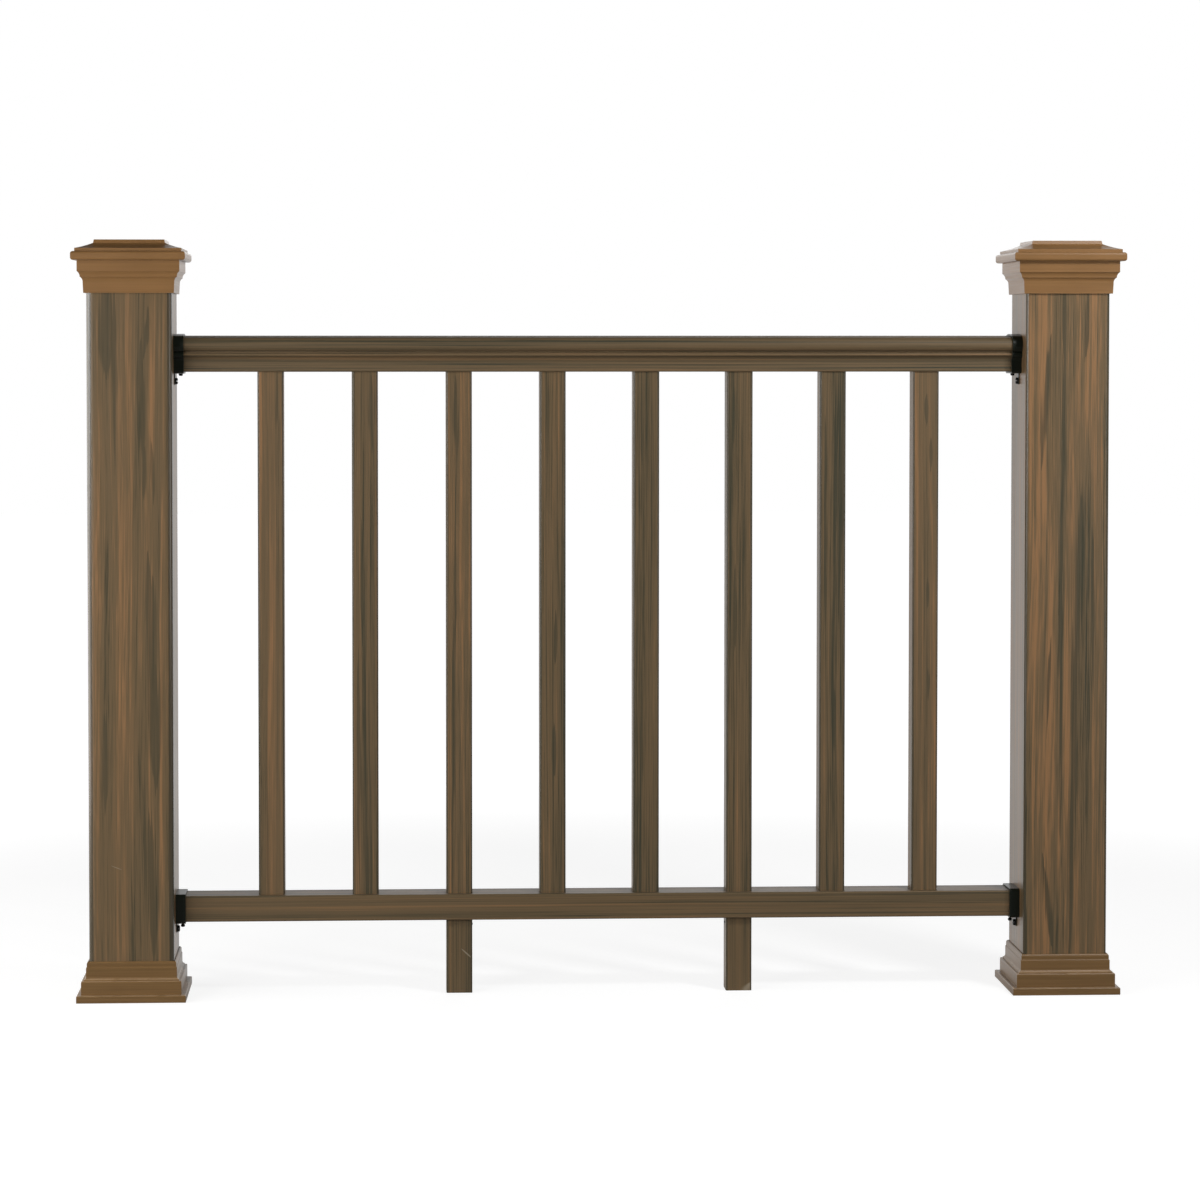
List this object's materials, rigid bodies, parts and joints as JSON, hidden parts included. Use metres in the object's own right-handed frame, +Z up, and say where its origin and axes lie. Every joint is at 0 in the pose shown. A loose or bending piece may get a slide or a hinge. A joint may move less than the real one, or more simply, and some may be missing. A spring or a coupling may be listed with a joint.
{
  "type": "deck railing section",
  "caption": "Composite deck railing section: hollow square posts with moulded caps and stepped skirts, moulded top rail, bottom rail on short feet, square balusters and black socket brackets.",
  "frame": {"origin": "on the ground, midway between the two posts", "axes": "+X along the railing to the right seen from the front, +Y to the back, +Z up"},
  "size_m": [1.4474, 0.1554, 1.0452],
  "materials": {
    "composite": "co-extruded wood-plastic, brown with dark and tan streaks along each length, satin",
    "trim": "moulded tan-brown plastic, satin",
    "bracket": "black moulded plastic, satin"
  },
  "bodies": {
    "root": {"left_post": "composite", "right_post": "composite", "top_rail": "composite", "bottom_rail": "composite", "left_foot": "composite", "right_foot": "composite", "baluster_1": "composite", "baluster_2": "composite", "baluster_3": "composite", "baluster_4": "composite", "baluster_5": "composite", "baluster_6": "composite", "baluster_7": "composite", "baluster_8": "composite", "left_post_cap": "trim", "right_post_cap": "trim", "left_post_skirt": "trim", "right_post_skirt": "trim", "top_left_bracket": "bracket", "top_right_bracket": "bracket", "bottom_left_bracket": "bracket", "bottom_right_bracket": "bracket"}
  },
  "joints": []
}
